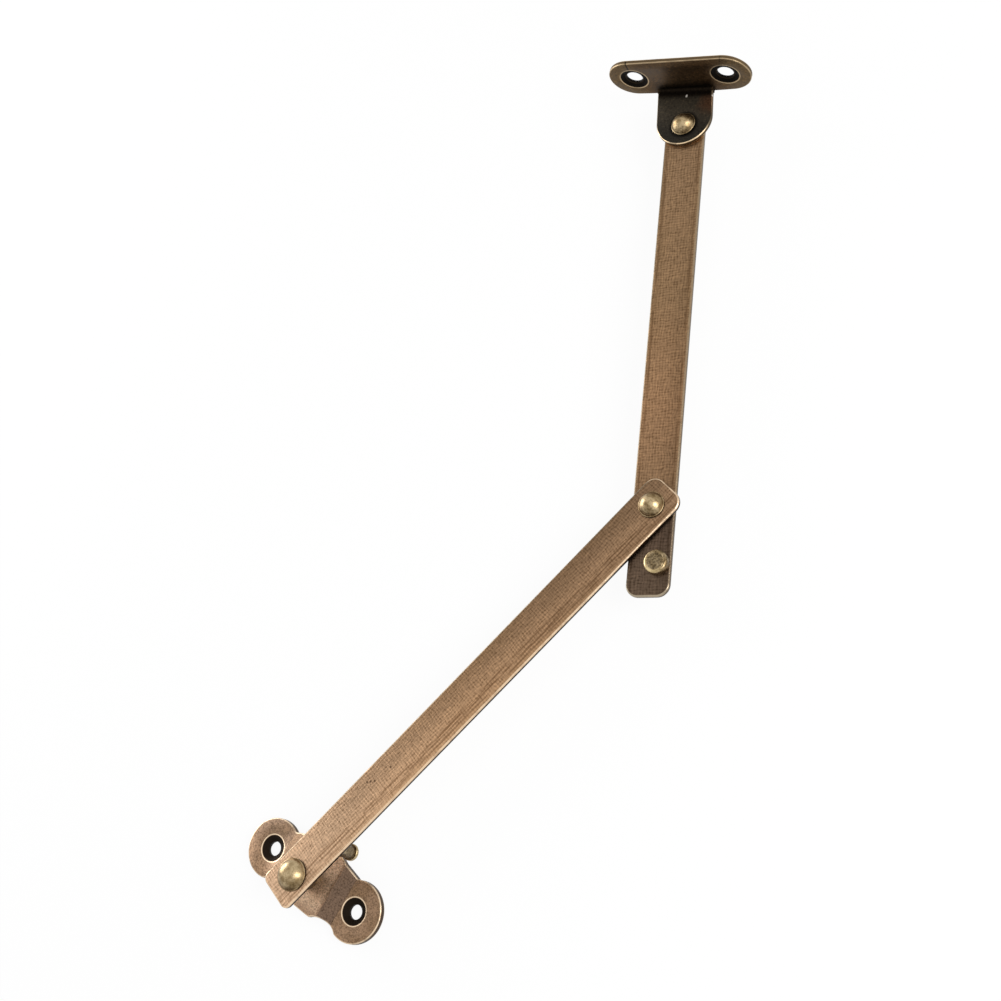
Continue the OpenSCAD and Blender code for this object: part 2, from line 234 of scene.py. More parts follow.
def armPaint(name, centre, turn, start, length, width):
    look, own = armLook, armLook[name]
    p = Paint(bpy.data.materials.new(name + "Brass"))
    flat = p.place(centre, turn)
    u, v = p.parts(flat)[:2]
    along, across = (u - start) / length, v / (width / 2)
    drift = p.noise(p.stretch(flat, look["tintStretch"]), 1.0, 3.0) - 0.5
    # the colour along the arm, with painted light and painted shadow in it
    base = p.ramp(along + drift * look["tintShift"], own["tintAndPaintedLight"])
    # painted light and shade: one long half of each arm is lightened, the other darkened
    leftSide = p.step(across, *look["leftFrom"]) * p.step(along, *look["leftFade"])
    rightSide = p.step(across, *look["rightFrom"]) * p.step(along, *look["rightFade"])
    base = p.mix(leftSide, base, p.times(base, own["leftTone"]))
    base = p.mix(rightSide, base, p.times(base, own["rightTone"]))

    grain = p.noise(flat, 1 / look["grainSize"], 3.0, 0.65)
    fine = 1 / look["hatchSize"]
    threadA = p.noise(p.stretch(flat, (fine * look["hatchLong"], fine, fine)), 1.0, 1.0)
    threadB = p.noise(p.stretch(flat, (fine, fine * look["hatchLong"], fine)), 1.0, 1.0)
    sway = p.noise(flat, look["swayScale"], 2.0) * look["sway"]
    pitch = math.tau / look["weaveSize"]
    weave = p.wave(u * pitch + sway) + p.wave(v * pitch - sway)
    tone = (threadA + threadB - 1.0) * look["hatchAmount"] + (grain - 0.5) * look["grainAmount"]
    tone = tone + weave * look["weaveAmount"]
    toned = p.mix(p.step(tone, *look["lightFrom"]), base, p.times(base, look["lightTone"]))
    toned = p.mix(p.step(tone, *look["darkFrom"]), toned, p.times(base, look["darkTone"]))

    # painted shade: a clouded darkening over the arm's left half
    cloud = p.noise(p.stretch(flat, look["cloudStretch"]), 1.0, 2.0)
    dusk = p.step(across, *look["duskEdge"]) * p.step(cloud, *look["cloudFrom"])
    dusk = dusk * p.step(along, *own["duskFrom"])
    toned = p.mix(dusk * own["dusk"], toned, p.times(base, look["duskTone"]))
    thread = p.noise(p.stretch(flat, look["streakStretch"]), 1.0, 2.0, 0.6, 0.3)  # dark lines along the arm
    streak = p.step(thread, *look["streakFrom"]) * p.between(across, *look["streakBand"])
    toned = p.mix(streak * own["streaks"], toned, p.times(base, look["streakTone"]))
    for line, seed, wander in own["scratches"]:  # long scratches beside the edges
        bends = p.add("ShaderNodeCombineXYZ", {}, {"X": u * look["scratchBends"] + seed})
        breaks = p.add("ShaderNodeCombineXYZ", {}, {"X": u * look["scratchBreaks"] + seed})
        near = p.size(across - line + (p.noise(bends, 1.0, 3.0) - 0.5) * wander)
        scratch = p.step(near, *look["scratchEdge"]) * p.step(p.noise(breaks, 1.0, 2.0), *look["breakFrom"])
        toned = p.mix(scratch * own["scratched"], toned, p.times(base, look["scratchTone"]))
    # painted highlight: lighter threads along the right edge
    glow = p.step(across, *look["glowEdge"]) * p.step(thread, *look["glowFrom"])
    toned = p.mix(glow * own["glow"], toned, p.times(base, look["glowTone"]))

    fleck = p.step(p.noise(flat, look["fleckScale"], 1.0), *look["fleckFrom"])
    toned = p.mix(fleck * look["fleckAmount"], toned, look["soot"])
    for speckU, speckV in own["specks"]:
        near = p.far(u - speckU, v - speckV)
        toned = p.mix(p.step(near, *look["speckEdge"]) * look["speckAmount"], toned, look["soot"])

    rim, side = p.mark("rim"), p.mark("side")
    # painted shade on the arm's flanks and its back edge
    toned = p.mix(side * (look["sideLeast"] + grain * look["sideGrain"]), toned, own["side"])
    broken = p.step(p.noise(flat, look["brokenScale"], 3.0), *look["brokenFrom"])
    # the edges: wear with a painted highlight on the right, a duller painted shade on the left
    edge = p.mix(p.step(across, *look["edgeFrom"]), own["wearAndHighlight"], own["leftEdgeShade"])
    atEnds = p.step(along, *look["startEdge"]) + p.step(along, *look["stopEdge"])
    edge = p.mix(atEnds * look["endAmount"], edge, own["endWearAndHighlight"])  # the line of wear and painted highlight runs round both ends
    # painted shadow: the edges dim over the upper arm's tail
    dim = p.step(along, own["dimTo"], own["dimTo"] - look["dimLength"]) * look["dimAmount"]
    edge = p.mix(dim * (1 - atEnds), edge, own["side"])
    wear = look["brokenLeast"] + broken * (1 - look["brokenLeast"])
    colour = p.mix(rim * wear * own["wearAndHighlightAmount"], toned, edge)
    rough = look["rough"] + (grain - 0.5) * look["roughGrain"]
    rough = rough + fleck * look["roughFleck"] - rim * look["smoothRim"]
    return p.metal(colour, rough, look["bump"], tone - streak * look["streakDepth"])


bracketLook = {
    "tan": linear(141, 114, 89), "pink": linear(158, 130, 106),
    "patchScale": 160, "patchFrom": (0.36, 0.66),
    "holeX": 16.5 * mm, "footX": 12.3 * mm, "platformX": 8.2 * mm, "front": 0.5 * mm,
    "leftEarShadeX": (-11 * mm, -14 * mm), "leftEarShadeY": (-3 * mm, 5 * mm), "leftEarShadeTone": (0.82, 0.85, 0.90),
    "under": linear(214, 188, 160), "underEdge": (0.2 * mm, -1.2 * mm), "underY": (-8 * mm, -3 * mm),
    "underAmount": 0.85,
    "leftSlope": linear(112, 90, 70), "rightTone": (0.82, 0.81, 0.78), "shade": linear(106, 87, 73),
    "shadeAmount": 0.9, "slopeSoft": 0.12 * mm,
    "creaseHalf": 0.1 * mm, "creaseSoft": 0.08 * mm, "creaseAmount": 0.4,
    "grain": (2300, 3.0, 0.7), "lightFrom": (0.50, 0.62), "lightTone": (1.34, 1.31, 1.27),
    "darkFrom": (0.49, 0.36), "darkTone": (0.56, 0.53, 0.50),
    "dustAndShade": linear(60, 44, 32), "fleckScale": 780, "fleckFrom": (0.74, 0.79), "fleckAmount": 0.55,
    "side": linear(56, 42, 29), "sideLeast": 0.70, "sideGrain": 0.3,
    "wearAndHighlight": linear(246, 222, 190), "wearAndHighlightAmount": 0.6,
    "brokenScale": 340, "brokenFrom": (0.30, 0.55), "brokenLeast": 0.35,
    "hole": linear(24, 20, 16), "holeAmount": 0.97, "frontSoft": 0.1 * mm,
    "ring": (3.70 * mm, 3.98 * mm, 0.06 * mm), "ringLeast": 0.65, "ringBroken": 0.3,
    "sinkEdge": (3.70 * mm, 3.55 * mm), "boreEdge": (2.3 * mm, 2.2 * mm),
    "bump": 0.16, "rough": 0.46, "roughGrain": 0.30, "roughHole": 0.2, "smoothRim": 0.08,
}


def bracketPaint(name):
    look = bracketLook
    p = Paint(bpy.data.materials.new(name))
    flat = p.place((0, 0, 0), 0)
    x, y, z = p.parts(flat)
    reach = p.size(x)
    platformX, footX, half = look["platformX"], look["footX"], look["creaseHalf"]
    patch = p.step(p.noise(flat, look["patchScale"], 3.0), *look["patchFrom"])
    base = p.mix(patch, look["tan"], look["pink"])
    leftEarShade = p.step(x, *look["leftEarShadeX"]) * p.step(y, *look["leftEarShadeY"])  # painted shade on the left ear's upper part
    base = p.mix(leftEarShade, base, p.times(base, look["leftEarShadeTone"]))
    # painted light: the platform near and under the arm is lightened against the arm's shadow
    lightUnderArm = p.step(reach, *(platformX + edge for edge in look["underEdge"])) * p.step(y, *look["underY"])
    base = p.mix(lightUnderArm * look["underAmount"], base, look["under"])
    # painted shade on both slopes; the right ear is darkened too
    onLeft = p.between(0.0 - x, platformX, footX, look["slopeSoft"])
    base = p.mix(onLeft, base, look["leftSlope"])
    base = p.mix(p.step(x, platformX, footX), base, p.times(base, look["rightTone"]))
    onRight = p.between(x, platformX, footX, look["slopeSoft"])
    base = p.mix(onRight * look["shadeAmount"], base, look["shade"])
    for creaseX, foldHighlightAndShade in ((platformX, look["pink"]), (footX, look["dustAndShade"])):  # painted lines at the folds: a highlight at the platform's fold, shade at the foot's fold
        crease = p.between(reach, creaseX - half, creaseX + half, look["creaseSoft"])
        base = p.mix(crease * look["creaseAmount"], base, foldHighlightAndShade)

    grain = p.noise(flat, *look["grain"])
    tone = p.mix(p.step(grain, *look["lightFrom"]), base, p.times(base, look["lightTone"]))
    tone = p.mix(p.step(grain, *look["darkFrom"]), tone, p.times(base, look["darkTone"]))
    fleck = p.step(p.noise(flat, look["fleckScale"], 1.0), *look["fleckFrom"])
    tone = p.mix(fleck * look["fleckAmount"], tone, look["dustAndShade"])

    rim, side = p.mark("rim"), p.mark("side")
    # painted shade on the upright faces
    tone = p.mix(side * (look["sideLeast"] + grain * look["sideGrain"]), tone, look["side"])
    broken = p.step(p.noise(flat, look["brokenScale"], 3.0), *look["brokenFrom"])
    wear = look["brokenLeast"] + broken * (1 - look["brokenLeast"])
    # wear and a painted highlight on the rounded edges
    tone = p.mix(rim * wear * look["wearAndHighlightAmount"], tone, look["wearAndHighlight"])

    away = p.far(reach - look["holeX"], y)  # from the nearer screw hole's axis
    inFront = p.step(z, look["front"] - look["frontSoft"], look["front"] + look["frontSoft"])
    # a ring of wear and painted highlight round each countersink
    ring = p.between(away, *look["ring"]) * inFront
    tone = p.mix(ring * (look["ringLeast"] + broken * look["ringBroken"]), tone, look["wearAndHighlight"])
    # painted shade in the countersinks and bores
    hole = p.step(away, *look["sinkEdge"]) * inFront
    bore = p.step(away, *look["boreEdge"])
    colour = p.mix((hole + bore - hole * bore) * look["holeAmount"], tone, look["hole"])
    rough = look["rough"] + (grain - 0.5) * look["roughGrain"]
    rough = rough + hole * look["roughHole"] - rim * look["smoothRim"]
    return p.metal(colour, rough, look["bump"], grain)


lidLook = {
    "middle": -2.16 * mm, "holeX": 14.1 * mm, "holeZ": 7.3 * mm,
    "grain": (1700, 3.0, 0.7), "cloud": (120, 3.0, 0.6),
    "plate": linear(78, 60, 41), "ends": linear(92, 75, 52),
    "endsFrom": (9 * mm, 17 * mm), "endsDrift": 10 * mm,
    "tab": linear(62, 56, 47), "tabLow": linear(42, 39, 34), "tabEdge": (11.0 * mm, 9.2 * mm),
    "tabLowFrom": (5 * mm, -3 * mm),
    "rust": linear(92, 60, 40), "rustU": (2.5 * mm, 7.0 * mm), "rustV": (2 * mm, 6 * mm),
    "rustDrift": 12 * mm, "rustAmount": 0.6,
    "bend": linear(12, 10, 8), "bendReach": (10.5 * mm, 7.5 * mm), "bendV": (8.2 * mm, 10.4 * mm),
    "bendW": (6.5 * mm, 1.8 * mm), "bendAmount": 0.94, "underEdge": (12.7 * mm, 12.5 * mm),
    "lightFrom": (0.53, 0.70), "lightTone": (1.8, 1.7, 1.5),
    "darkFrom": (0.46, 0.30), "darkTone": (0.45, 0.42, 0.40),
    "spark": linear(244, 238, 228), "sparkU": (-1.3 * mm, 6.9 * mm), "sparkV": 9.6 * mm, "sparkFlat": 0.7,
    "sparkEdge": (0.45 * mm, 0.135 * mm), "sparkGrain": 0.4 * mm, "sparkAmount": 0.85,
    "domeShadow": (3.3 * mm, 4.3 * mm, 0.4 * mm), "domeShadowAmount": 0.75,
    "side": linear(96, 80, 58), "sideAmount": 0.75,
    "wearAndHighlight": linear(238, 212, 172), "wearAndHighlightAmount": 0.85,
    "brokenScale": 260, "brokenFrom": (0.28, 0.55), "brokenLeast": 0.40,
    "edgeLeast": 0.12, "edgeLow": (0.5 * mm, -3.5 * mm), "edgeLowAmount": 0.88,
    "edgeTop": (11.6 * mm, 12.6 * mm), "edgeTopAmount": 0.6,
    "hairlines": ((-16.5 * mm, 0.04, 0.85), (11.3 * mm, 0.33, 0.4)),  # place, slant, amount
    "hairW": 10.6 * mm, "hairFront": (10.5 * mm, 10.6 * mm), "hairEdge": (0.30 * mm, 0.14 * mm),
    "hairV": (13.1 * mm, 12.8 * mm),
    "hole": linear(14, 12, 11), "holeAmount": 0.97, "holeW": (2.0 * mm, 2.6 * mm),
    "ring": (4.10 * mm, 4.42 * mm, 0.07 * mm), "ringLeast": 0.20, "ringBroken": 0.25,
    "sinkEdge": (4.12 * mm, 3.98 * mm), "boreEdge": (2.7 * mm, 2.6 * mm),
    "bump": 0.14, "rough": 0.50, "roughGrain": 0.28, "roughHole": 0.25, "smoothRim": 0.06,
}


def lidPaint(name):
    look = lidLook
    p = Paint(bpy.data.materials.new(name))
    flat = p.place(upperPivot, plateTurn)
    u, v, w = p.parts(flat)
    grain = p.noise(flat, *look["grain"])
    cloud = p.noise(flat, *look["cloud"]) - 0.5
    reach = p.size(u - look["middle"])
    base = p.mix(p.step(reach + cloud * look["endsDrift"], *look["endsFrom"]), look["plate"], look["ends"])
    onTab = p.step(v, *look["tabEdge"])
    base = p.mix(onTab, base, p.mix(p.step(v, *look["tabLowFrom"]), look["tab"], look["tabLow"]))
    rust = p.step(u + cloud * look["rustDrift"], *look["rustU"]) * p.step(v, *look["rustV"]) * onTab
    base = p.mix(rust * look["rustAmount"], base, look["rust"])
    inside = p.step(reach, *look["bendReach"])  # painted shade darkens the bend, and fades out on both sides
    below = p.step(v, *look["underEdge"])
    bend = p.step(v, *look["bendV"]) * p.step(w, *look["bendW"]) * inside * below
    base = p.mix(bend * look["bendAmount"], base, look["bend"])

    tone = p.mix(p.step(grain, *look["lightFrom"]), base, p.times(base, look["lightTone"]))
    tone = p.mix(p.step(grain, *look["darkFrom"]), tone, p.times(base, look["darkTone"]))
    # painted highlights: two small near-white glints
    for sparkU in look["sparkU"]:
        near = p.far(u - sparkU, (v - look["sparkV"]) * look["sparkFlat"])
        near = near + (grain - 0.5) * look["sparkGrain"]
        tone = p.mix(p.step(near, *look["sparkEdge"]) * look["sparkAmount"], tone, look["spark"])
    domeShadow = p.between(p.far(u, v), *look["domeShadow"]) * onTab  # painted shadow round the rivet's dome
    tone = p.mix(domeShadow * look["domeShadowAmount"], tone, look["hole"])

    rim, side = p.mark("rim"), p.mark("side")
    # painted shade on the upright faces
    tone = p.mix(side * look["sideAmount"], tone, look["side"])
    broken = p.step(p.noise(flat, look["brokenScale"], 3.0), *look["brokenFrom"])
    wear = look["brokenLeast"] + broken * (1 - look["brokenLeast"])
    # wear and painted highlights on the rounded edges, strongest on the tab's lower edge and the plate's top edge
    edge = look["edgeLeast"] + p.step(v, *look["edgeLow"]) * look["edgeLowAmount"]
    edge = edge + p.step(v, *look["edgeTop"]) * look["edgeTopAmount"]
    tone = p.mix(rim * edge * wear * look["wearAndHighlightAmount"], tone, look["wearAndHighlight"])
    hairBand = p.step(w, *look["hairFront"]) * p.step(v, *look["hairV"])
    for startU, slant, amount in look["hairlines"]:  # from the holes out over the plate's front edge
        near = p.size(u - startU - (w - look["hairW"]) * slant)
        tone = p.mix(p.step(near, *look["hairEdge"]) * hairBand * amount, tone, look["hole"])

    away = p.far(reach - look["holeX"], w - look["holeZ"])  # from the nearer screw hole's axis
    onPlate = p.step(w, *look["holeW"])
    under = below * onPlate
    # a ring of wear and painted highlight round each countersink
    ring = p.between(away, *look["ring"]) * under
    tone = p.mix(ring * (look["ringLeast"] + broken * look["ringBroken"]), tone, look["wearAndHighlight"])
    # painted shade in the countersinks and bores
    hole = p.step(away, *look["sinkEdge"]) * under
    bore = p.step(away, *look["boreEdge"]) * onPlate
    colour = p.mix((hole + bore - hole * bore) * look["holeAmount"], tone, look["hole"])
    rough = look["rough"] + (grain - 0.5) * look["roughGrain"]
    rough = rough + hole * look["roughHole"] - rim * look["smoothRim"]
    return p.metal(colour, rough, look["bump"], grain)


rivetLook = {
    "gold": linear(185, 164, 128), "olive": linear(136, 115, 82),
    "patchScale": 420, "patchFrom": (0.35, 0.65),
    "grain": (1700, 3.0, 0.65), "darkFrom": (0.50, 0.38), "darkTone": (0.68, 0.65, 0.60),
    "wearAndHighlight": linear(236, 214, 160), "wearAndHighlightLeast": 0.35, "wearAndHighlightGrain": 0.5,
    # the soot colour also darkens the rivets' feet and lower sides as painted shade
    "soot": linear(38, 31, 22), "sootFrom": (0.64, 0.42), "sootLeast": 0.40,
    "bump": 0.06, "rough": 0.33, "roughGrain": 0.22, "roughFoot": 0.12,
}


def rivetPaint(name):
    look = rivetLook
    p = Paint(bpy.data.materials.new(name))
    flat = p.place((0, 0, 0), 0)
    grain = p.noise(flat, *look["grain"])
    patch = p.step(p.noise(flat, look["patchScale"], 2.0), *look["patchFrom"])
    base = p.mix(patch, look["gold"], look["olive"])
    tone = p.mix(p.step(grain, *look["darkFrom"]), base, p.times(base, look["darkTone"]))
    rim, foot = p.mark("rim"), p.mark("side")
    # wear and a painted highlight on the rims
    tone = p.mix(rim * (look["wearAndHighlightLeast"] + grain * look["wearAndHighlightGrain"]), tone, look["wearAndHighlight"])
    # painted shade at the feet and lower sides, broken by a sooty grain
    sooty = p.step(grain, *look["sootFrom"], look["sootLeast"], 1.0)
    colour = p.mix(foot * sooty, tone, look["soot"])
    rough = look["rough"] + (grain - 0.5) * look["roughGrain"] + foot * look["roughFoot"]
    return p.metal(colour, rough, look["bump"], grain)


print("materials: ready")


meshing = {
    "sharpAngle": 34, "squareFrom": 0.9995, "largeArea": 20 * mm ** 2,  # degrees, cosine, square metres
    "mergeDist": 1e-6, "flatAngle": 0.6, "turnSteps": 56,
}


def settle(bm, name, body, node, material, sharpAngle=meshing["sharpAngle"]):
    mesh = bpy.data.meshes.new(name)
    bm.to_mesh(mesh)
    bm.free()
    mesh.set_sharp_from_angle(angle=math.radians(sharpAngle))
    mesh.materials.append(material)
    piece = bpy.data.objects.new(name, mesh)
    bpy.context.scene.collection.objects.link(piece)
    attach(piece, body)
    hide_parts(node)
    print(name, len(mesh.polygons), "faces")
    return piece


def shade(bm, rim, turn=0.0):  # large and square faces stay flat, rounded edges and bends are smooth
    bm.normal_update()
    about = Matrix.Rotation(-turn, 3, "Z")
    for face in bm.faces:
        square = max(abs(part) for part in about @ face.normal) > meshing["squareFrom"]
        large = face.calc_area() > meshing["largeArea"]
        face.smooth = face[rim] > 0.5 or not (square or large)


def marks(bm):  # numbers on faces, which the materials read: edges with wear and painted highlights, and sides or feet darkened by painted shade
    return [bm.faces.layers.float.new(name) for name in ("rim", "side")]


def bevelEdges(bm, edges, width, steps):
    return bmesh.ops.bevel(bm, geom=edges, offset=width, affect="EDGES", segments=steps, profile=0.5,
                           material=-1, clamp_overlap=False)["faces"]


armShape = {
    "lowerArm": {"before": 7.4 * mm, "past": 6.6 * mm, "corners": (2.0 * mm, 3.4 * mm)},
    "upperArm": {"before": 24.52 * mm, "past": 6.0 * mm, "corners": (3.4 * mm, 3.4 * mm)},
    "width": 12.0 * mm, "cornerSteps": 10, "edge": 0.42 * mm, "edgeSteps": 4, "brinkAngle": 1.0,
}


def makeArm(name, node, centre, other, turn):
    shape, own = armShape, armShape[name]
    low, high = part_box(node)
    thick = high[2] - low[2]
    start, stop = -own["before"], (other - centre).length + own["past"]
    bm = bmesh.new()
    rim, side = marks(bm)
    bmesh.ops.create_cube(bm, size=1.0)
    bmesh.ops.scale(bm, vec=(stop - start, shape["width"], thick), verts=bm.verts)
    bmesh.ops.translate(bm, vec=((start + stop) / 2, 0, 0), verts=bm.verts)
    for end, corner in zip((start, stop), own["corners"]):
        upright = [e for e in bm.edges if all(abs(v.co.x - end) < meshing["mergeDist"] for v in e.verts)
                   and abs(e.verts[0].co.z - e.verts[1].co.z) > thick / 2]
        bevelEdges(bm, upright, corner, shape["cornerSteps"])
    # the flanks get painted shade
    for face in bm.faces:
        face[side] = 0.0 if abs(face.normal.z) > 0.5 else 1.0
    brink = [e for e in bm.edges if len(e.link_faces) == 2 and e.calc_face_angle() > shape["brinkAngle"]]
    made = bevelEdges(bm, brink, shape["edge"], shape["edgeSteps"])
    for face in made:
        face[rim], face[side] = 1.0, 0.0
    shade(bm, rim)
    for face in made:  # the front edge has wear and a painted highlight, the back edge is as dark as the side, painted shade
        if face.calc_center_median().z < 0:
            face[rim], face[side] = 0.0, 1.0
    middle = Matrix.Translation((centre[0], centre[1], (low[2] + high[2]) / 2))
    bmesh.ops.transform(bm, matrix=middle @ Matrix.Rotation(turn, 4, "Z"), verts=bm.verts)
    paint = armPaint(name, centre, turn, start, stop - start, shape["width"])
    return settle(bm, name, node, node, paint)


makeArm("lowerArm", "lower_arm", lowerPivot, elbowPivot, lowerTurn)
makeArm("upperArm", "upper_arm", elbowPivot, upperPivot, upperTurn)


def mergedCopy(node):
    bm = bmesh.new()
    bm.from_mesh(nodes[node].data)
    bmesh.ops.remove_doubles(bm, verts=bm.verts, dist=meshing["mergeDist"])
    flat = math.radians(meshing["flatAngle"])
    bmesh.ops.dissolve_limit(bm, angle_limit=flat, verts=bm.verts, edges=bm.edges)
    return bm


def softenEdges(bm, rim, side, shape, spared):  # rounds the sharp edges, but for the spared ones
    least = math.radians(shape["sharp"])
    sharp = [e for e in bm.edges if len(e.link_faces) == 2 and e.calc_face_angle() > least]
    brink = [e for e in sharp if not spared((e.verts[0].co + e.verts[1].co) / 2)]
    for face in bevelEdges(bm, brink, shape["edge"], shape["edgeSteps"]):
        face[rim], face[side] = 1.0, 0.0


lowerBracketShape = {
    "edge": 0.30 * mm, "edgeSteps": 3, "sharp": 50, "sideLean": 0.1,
    "holeX": 16.5 * mm, "holeRoom": 4.2 * mm, "rivetRoom": 2.5 * mm,
}


def makeLowerBracket():
    shape = lowerBracketShape
    bm = mergedCopy("lower_bracket")
    rim, side = marks(bm)

    def nearHole(spot):
        fromHole = math.hypot(abs(spot.x) - shape["holeX"], spot.y)
        return fromHole < shape["holeRoom"] or math.hypot(spot.x, spot.y) < shape["rivetRoom"]

    # upright faces away from the holes get painted shade
    for face in bm.faces:
        upright = abs(face.normal.z) < shape["sideLean"]
        face[side] = 1.0 if upright and not nearHole(face.calc_center_median()) else 0.0
    softenEdges(bm, rim, side, shape, nearHole)
    shade(bm, rim)
    paint = bracketPaint("bracketBrass")
    return settle(bm, "lowerBracket", "lower_bracket", "lower_bracket", paint)


upperBracketShape = {
    "edge": 0.26 * mm, "edgeSteps": 3, "sharp": 50, "sideLean": 0.1,
    "middle": -2.16 * mm, "holeX": 14.1 * mm, "holeZ": 7.3 * mm, "holeRoom": 4.6 * mm,
    "rivetRoom": 2.5 * mm, "bendY": 10.9 * mm, "bendDepth": 2.6 * mm, "plateRise": 1 * mm,
}


def makeUpperBracket():
    shape = upperBracketShape
    bm = mergedCopy("upper_bracket")
    rim, side = marks(bm)
    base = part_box("upper_bracket")[0][2]
    toPivot = Matrix.Translation((-upperPivot.x, -upperPivot.y, -base))
    toLocal = Matrix.Rotation(-plateTurn, 4, "Z") @ toPivot
    turned = toLocal.to_3x3()

    def spared(place):  # holes, and the corners beside the bend
        spot = toLocal @ place
        reach = abs(spot.x - shape["middle"])
        fromHole = math.hypot(reach - shape["holeX"], spot.z - shape["holeZ"])
        pastBend = spot.y > shape["bendY"]
        inBend = pastBend and spot.z < shape["bendDepth"] and reach < shape["holeX"]
        atRivet = math.hypot(spot.x, spot.y) < shape["rivetRoom"]
        return (fromHole < shape["holeRoom"] and pastBend) or inBend or atRivet

    # upright faces of the plate and tab get painted shade
    for face in bm.faces:
        middle = face.calc_center_median()
        spot, way = toLocal @ middle, turned @ face.normal
        onPlate = spot.y > shape["bendY"] + shape["plateRise"] and abs(way.y) < shape["sideLean"]
        onTab = spot.y < shape["bendY"] and abs(way.z) < shape["sideLean"]
        face[side] = 1.0 if (onPlate or onTab) and not spared(middle) else 0.0
    softenEdges(bm, rim, side, shape, spared)
    shade(bm, rim, plateTurn)
    paint = lidPaint("darkBrass")
    return settle(bm, "upperBracket", "upper_bracket", "upper_bracket", paint)


makeLowerBracket()
makeUpperBracket()


def turnedPiece(outline, centre):  # spins an outline of (radius, height) about an upright axis
    bm = bmesh.new()
    chain = [bm.verts.new((r, 0, z)) for r, z in outline]
    for first, second in zip(chain, chain[1:]):
        bm.edges.new((first, second))
    bmesh.ops.spin(bm, geom=bm.verts[:] + bm.edges[:], cent=(0, 0, 0), axis=(0, 0, 1), angle=math.tau,
                   steps=meshing["turnSteps"], use_merge=True)
    bmesh.ops.remove_doubles(bm, verts=bm.verts, dist=meshing["mergeDist"])
    bmesh.ops.recalc_face_normals(bm, faces=bm.faces)
    bmesh.ops.translate(bm, vec=(centre[0], centre[1], 0), verts=bm.verts)
    for face in bm.faces:
        face.smooth = True
    return bm


def arc(radius, height, base, steps, down=False):  # points of a dome, from its top to its foot
    ball = (radius * radius + height * height) / (2 * height)
    spread = math.asin(min(1.0, radius / ball))
    way = -1 if down else 1
    turns = [spread * i / steps for i in range(steps + 1)]
    return [(ball * math.sin(turn), base + way * (height - ball + ball * math.cos(turn))) for turn in turns]


rivetShape = {
    "lip": 0.4 * mm, "step": 0.2 * mm, "gap": 0.1 * mm, "edge": 0.1 * mm, "domeSteps": 14,
    "shankR": 2.0 * mm, "peenR": 2.9 * mm, "peenH": 0.9 * mm, "peenSteps": 8, "collarR": 3.0 * mm,
    "darkWay": (0.40, -0.91, 0), "darkFrom": 0.25, "darkOver": 0.6, "darkAmount": 0.6, "darkLip": 0.8,
    "sharp": 50, "bracketSheet": 2.0 * mm, "tabSheet": 1.3 * mm,
}
brassRivet = rivetPaint("rivetBrass")


def shankAndPeen(leafBack):  # from the shank's back end to the peened head's middle
    shape = rivetShape
    peen = arc(shape["peenR"], shape["peenH"], leafBack, shape["peenSteps"], True)
    return [(shape["shankR"], leafBack)] + peen[::-1]


def makeRivet(name, body, node, centre, leafBack, leafFront, collar=()):
    shape = rivetShape
    low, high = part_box(node)
    domeR, foot, edge = (high[0] - low[0]) / 2, leafFront + shape["gap"], shape["edge"]
    shankR, collarR = shape["shankR"], shape["collarR"]
    lip = foot + shape["lip"]
    outline = arc(domeR - shape["step"], high[2] - lip, lip, shape["domeSteps"])
    outline += [(domeR - edge, lip), (domeR, lip - edge), (domeR, foot + edge), (domeR - edge, foot)]
    outline += [(shankR, foot)]
    if collar:
        back, front = collar
        outline += [(shankR, front), (collarR, front), (collarR, back), (shankR, back)]
    bm = turnedPiece(outline + shankAndPeen(leafBack), centre)
    side = marks(bm)[1]
    bm.normal_update()
    for face in bm.faces:  # painted shade: the foot is dark, and so is the dome's lower side
        lean = face.normal.dot(Vector(shape["darkWay"]))
        dark = min(1.0, max(0.0, (lean - shape["darkFrom"]) / shape["darkOver"])) * shape["darkAmount"]
        face[side] = 1.0 if face.calc_center_median().z < foot + shape["lip"] * shape["darkLip"] else dark
    return settle(bm, name, body, node, brassRivet, shape["sharp"])


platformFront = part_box("lower_bracket")[1][2]
platformBack = platformFront - rivetShape["bracketSheet"]
lowerArmBack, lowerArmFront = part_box("lower_arm")[0][2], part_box("lower_arm")[1][2]
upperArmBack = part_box("upper_arm")[0][2]
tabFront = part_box("upper_bracket")[0][2] + rivetShape["tabSheet"]
collar = (platformFront, lowerArmBack - rivetShape["gap"])  # holds the arm off the platform
makeRivet("lowerRivet", "lower_bracket", "lower_rivet", lowerPivot, platformBack, lowerArmFront, collar)
makeRivet("elbowRivet", "upper_arm", "elbow_rivet", elbowPivot, upperArmBack, lowerArmFront)
makeRivet("upperRivet", "upper_arm", "upper_rivet", upperPivot, upperArmBack, tabFront)


stopShape = {
    "radius": 3.25 * mm, "height": 2.6 * mm, "chamfer": 0.5 * mm, "rim": 0.5 * mm, "dish": 0.2 * mm,
    "bowl": ((0.0, 1.0), (0.7, 0.95), (1.0, 0.6)),  # shares of the dish's radius and depth
    "lip": ((0.2 * mm, 0.04 * mm), (0.38 * mm, 0.0), (0.6 * mm, 0.06 * mm)),  # past the dish, below the top
    "shoulder": ((0.12 * mm, 0.7), (0.0, 1.3)),  # inside the radius, shares of the chamfer
    "footIn": 0.08 * mm, "footUp": 0.1 * mm,
    "wearAndHighlightWay": (-0.26, -0.97, 0), "wearAndHighlightAmount": 0.8, "wearAndHighlightFrom": 0.1 * mm, "wearAndHighlightDeep": 0.45 * mm,
    "dishDark": 0.7, "rimDark": 0.4, "rimDarkFrom": 0.3, "footDark": (1 * mm, 0.5 * mm), "sharp": 40,
}


